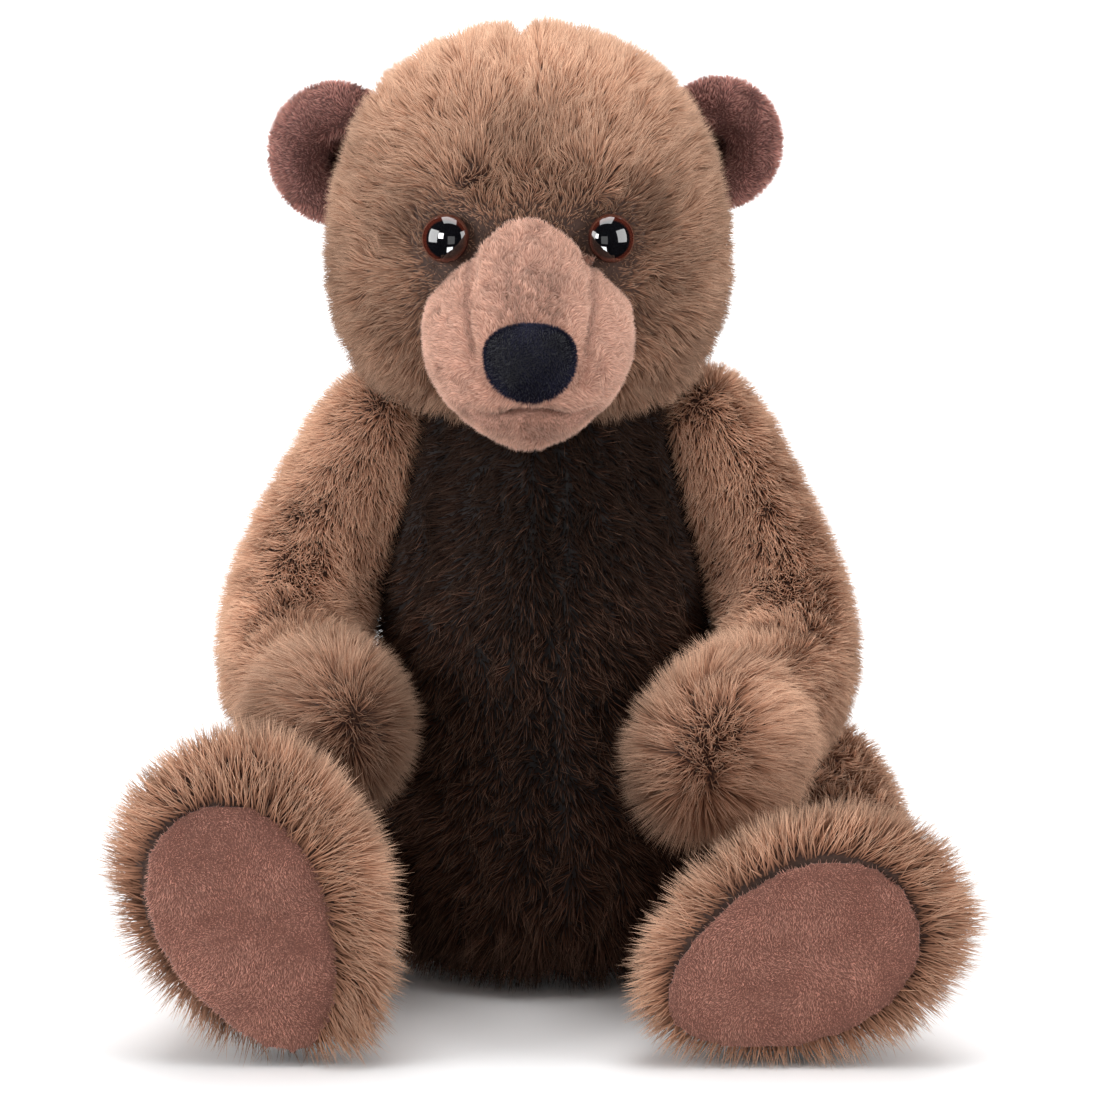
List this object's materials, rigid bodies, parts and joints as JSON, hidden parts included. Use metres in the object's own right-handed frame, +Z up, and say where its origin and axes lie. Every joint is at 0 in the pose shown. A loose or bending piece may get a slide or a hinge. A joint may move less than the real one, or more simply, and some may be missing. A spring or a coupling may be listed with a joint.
{
  "type": "jointed teddy bear",
  "caption": "Seated plush toy bear with a turning head, swinging arms and legs on disc joints, a velour muzzle and velour soles.",
  "frame": {"origin": "the centre of the torso's flat seat, on the surface that the bear sits on", "axes": "+Z up; the bear faces -Y; its own right side is at -X"},
  "size_m": [0.2437, 0.2196, 0.297],
  "materials": {
    "plush": "long brushed pile",
    "muzzle_velour": "short soft pile",
    "sole_velour": "short soft pile",
    "ear_velour": "short soft pile",
    "nose_fleece": "brushed",
    "eye_plastic": "polished",
    "washer_plastic": "moulded",
    "stuffing_fibre": "loose fibre",
    "hardboard": "plain",
    "zinc_steel": "zinc plated",
    "bag_cloth": "woven"
  },
  "bodies": {
    "torso": {"torso_skin": "plush", "torso_stuffing": "stuffing_fibre", "bean_bag": "bag_cloth", "neck_inner_disc": "hardboard", "neck_inner_washer": "zinc_steel", "right_shoulder_inner_disc": "hardboard", "right_shoulder_inner_washer": "zinc_steel", "left_shoulder_inner_disc": "hardboard", "left_shoulder_inner_washer": "zinc_steel", "right_hip_inner_disc": "hardboard", "right_hip_inner_washer": "zinc_steel", "left_hip_inner_disc": "hardboard", "left_hip_inner_washer": "zinc_steel"},
    "head": {"head_skin": "plush", "head_stuffing": "stuffing_fibre", "muzzle_skin": "muzzle_velour", "muzzle_stuffing": "stuffing_fibre", "nose": "nose_fleece", "right_eye": "eye_plastic", "left_eye": "eye_plastic", "right_eye_washer": "washer_plastic", "left_eye_washer": "washer_plastic", "right_ear": "ear_velour", "left_ear": "ear_velour", "neck_outer_disc": "hardboard", "neck_outer_washer": "zinc_steel", "neck_bolt": "zinc_steel", "neck_nut": "zinc_steel"},
    "right_arm": {"right_arm_skin": "plush", "right_arm_stuffing": "stuffing_fibre", "right_shoulder_outer_disc": "hardboard", "right_shoulder_outer_washer": "zinc_steel", "right_shoulder_bolt": "zinc_steel", "right_shoulder_nut": "zinc_steel"},
    "right_leg": {"right_leg_skin": "plush", "right_leg_stuffing": "stuffing_fibre", "right_foot_pad": "sole_velour", "right_hip_outer_disc": "hardboard", "right_hip_outer_washer": "zinc_steel", "right_hip_bolt": "zinc_steel", "right_hip_nut": "zinc_steel"},
    "left_arm": {"left_arm_skin": "plush", "left_arm_stuffing": "stuffing_fibre", "left_shoulder_outer_disc": "hardboard", "left_shoulder_outer_washer": "zinc_steel", "left_shoulder_bolt": "zinc_steel", "left_shoulder_nut": "zinc_steel"},
    "left_leg": {"left_leg_skin": "plush", "left_leg_stuffing": "stuffing_fibre", "left_foot_pad": "sole_velour", "left_hip_outer_disc": "hardboard", "left_hip_outer_washer": "zinc_steel", "left_hip_bolt": "zinc_steel", "left_hip_nut": "zinc_steel"}
  },
  "joints": [
    {"name": "neck", "type": "hinge", "parent": "torso", "child": "head", "pos_m": [-0.002, 0.014, 0.1955], "axis": [0, -0.2756, 0.9613], "range_deg": [-45, 45]},
    {"name": "right_shoulder", "type": "hinge", "parent": "torso", "child": "right_arm", "pos_m": [-0.0396, 0.013, 0.166], "axis": [-0.9659, 0, 0.2588], "range_deg": [-2, 42]},
    {"name": "left_shoulder", "type": "hinge", "parent": "torso", "child": "left_arm", "pos_m": [0.0396, 0.013, 0.166], "axis": [-0.9659, 0, -0.2588], "range_deg": [-2, 42]},
    {"name": "right_hip", "type": "hinge", "parent": "torso", "child": "right_leg", "pos_m": [-0.0502, 0.018, 0.043], "axis": [-0.9903, 0.1392, 0], "range_deg": [-90, 0]},
    {"name": "left_hip", "type": "hinge", "parent": "torso", "child": "left_leg", "pos_m": [0.0502, 0.018, 0.043], "axis": [-0.9903, -0.1392, 0], "range_deg": [-90, 0]}
  ]
}
